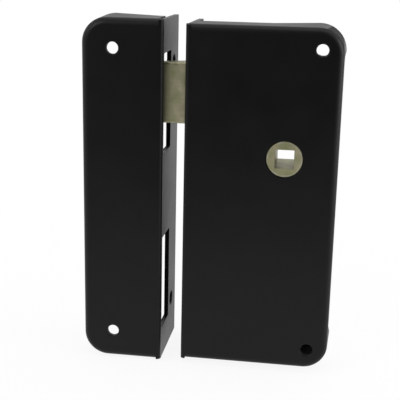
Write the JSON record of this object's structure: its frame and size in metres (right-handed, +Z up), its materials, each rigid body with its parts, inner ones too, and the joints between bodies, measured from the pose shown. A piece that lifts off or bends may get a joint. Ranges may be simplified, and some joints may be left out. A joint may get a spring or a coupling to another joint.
{
  "type": "surface-mounted gate latch lock",
  "caption": "Pressed steel latch lock for the face of a gate, with a square-bored follower, a sprung brass latch bolt and a matching keep.",
  "frame": {"origin": "centre of the case's back face, which lies on the gate", "axes": "+X from the keep to the case, +Y into the gate, +Z up"},
  "size_m": [0.1135, 0.0383, 0.1566],
  "materials": {
    "black_paint": "satin black coating",
    "brass": "dull brass",
    "zinc_steel": "zinc plated",
    "spring_steel": "drawn spring wire"
  },
  "bodies": {
    "lock_case": {"case_cover": "black_paint", "back_plate": "zinc_steel", "cover_pillars": "zinc_steel", "plate_screws": "zinc_steel", "follower_washer": "zinc_steel", "follower_stops": "zinc_steel", "spring_post": "zinc_steel", "guide_bracket": "zinc_steel", "bracket_rivets": "zinc_steel", "spring_washer": "zinc_steel", "keep_box": "black_paint", "latch_spring": "spring_steel", "return_spring": "spring_steel"},
    "follower": {"follower": "brass", "drive_pin": "zinc_steel"},
    "bolt": {"latch_bolt": "brass", "latch_tail": "zinc_steel", "tail_rivets": "brass", "spring_rod": "zinc_steel", "rod_clip": "spring_steel"}
  },
  "joints": [
    {"name": "follower_turn", "type": "hinge", "parent": "lock_case", "child": "follower", "pos_m": [0.0104, 0, 0.0203], "axis": [0, 1, 0], "range_deg": [0, 41.85], "stiffness_Nm_per_rad": 0.2, "springref_deg": -20.05, "deforming": ["return_spring"]},
    {"name": "latch_slide", "type": "slide", "parent": "lock_case", "child": "bolt", "axis": [1, 0, 0], "range_m": [0, 0.015], "deforming": ["latch_spring"]}
  ],
  "couplings": [
    {"joint": "latch_slide", "follows": "follower_turn", "m_per_rad": 0.020536}
  ]
}
